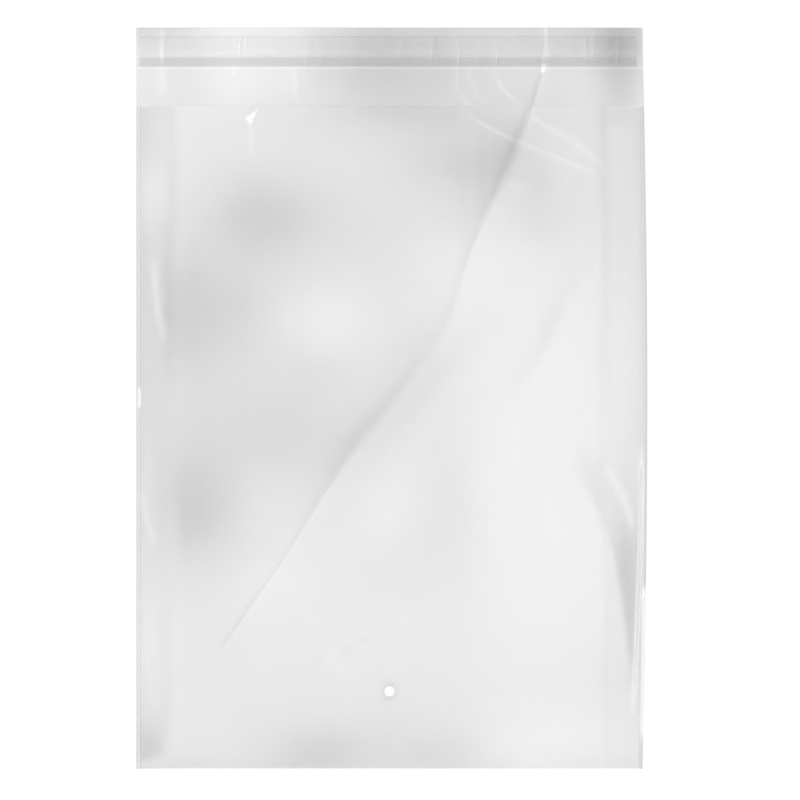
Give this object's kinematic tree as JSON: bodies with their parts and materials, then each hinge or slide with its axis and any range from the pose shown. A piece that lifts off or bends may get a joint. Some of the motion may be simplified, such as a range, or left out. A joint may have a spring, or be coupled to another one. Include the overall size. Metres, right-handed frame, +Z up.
{
  "type": "poly bag",
  "caption": "Clear flat poly bag lying on its back, mouth open, with a glued sealing flap, peel-off liner and small vent hole.",
  "frame": {"origin": "centre of the bounding box on the surface the bag lies on, under its back panel", "axes": "+Y from the bottom fold to the sealing flap, +X to the right seen from the front panel with the flap at the top, +Z up out of the front panel"},
  "size_m": [0.2554, 0.3704, 0.0098],
  "materials": {
    "film": "clear, slightly hazy, glossy blown film",
    "glue": "clear pressure-sensitive glue, slightly grey",
    "liner": "clear release film, satin"
  },
  "bodies": {
    "root": {"bag_film": "film", "adhesive_strip": "glue", "release_liner": "liner"}
  },
  "joints": []
}
